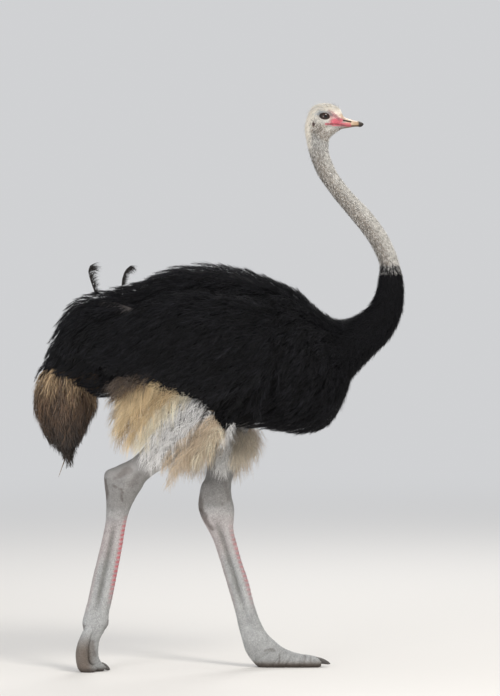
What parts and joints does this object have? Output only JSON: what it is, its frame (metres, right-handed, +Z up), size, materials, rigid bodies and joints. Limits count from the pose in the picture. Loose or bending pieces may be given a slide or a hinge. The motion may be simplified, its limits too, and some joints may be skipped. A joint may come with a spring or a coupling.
{
  "type": "ostrich model",
  "caption": "Life-size still model of a male ostrich walking, with a bare neck, black body plumage, pale wing plumes and a drooping brown tail.",
  "frame": {"origin": "middle of the bounding box, on the floor under the feet", "axes": "+Z up, +X the way the bird walks and looks, +Y its left"},
  "size_m": [1.3961, 0.6036, 2.1224],
  "materials": {
    "black_plumage": "matte",
    "pale_plumage": "matte",
    "brown_plumage": "matte",
    "bare_skin": "matte",
    "leg_skin": "satin",
    "bill": "satin",
    "claw": "satin",
    "eye": "gloss"
  },
  "bodies": {
    "root": {"bill_upper": "bill", "bill_lower": "bill", "head": "bare_skin", "eye_left": "eye", "eye_right": "eye", "neck_upper": "bare_skin", "neck_middle": "bare_skin", "neck_lower": "black_plumage", "trunk": "black_plumage", "wing_left": "black_plumage", "wing_right": "black_plumage", "wing_plumes_left": "pale_plumage", "wing_plumes_right": "pale_plumage", "tail": "brown_plumage", "tail_quill": "brown_plumage", "back_feather_front": "brown_plumage", "back_feather_rear": "brown_plumage", "shank_left": "leg_skin", "shank_right": "leg_skin", "tarsus_left": "leg_skin", "tarsus_right": "leg_skin", "toe_main_left": "leg_skin", "toe_main_right": "leg_skin", "toe_outer_left": "leg_skin", "toe_outer_right": "leg_skin", "claw_left": "claw", "claw_right": "claw"}
  },
  "joints": []
}
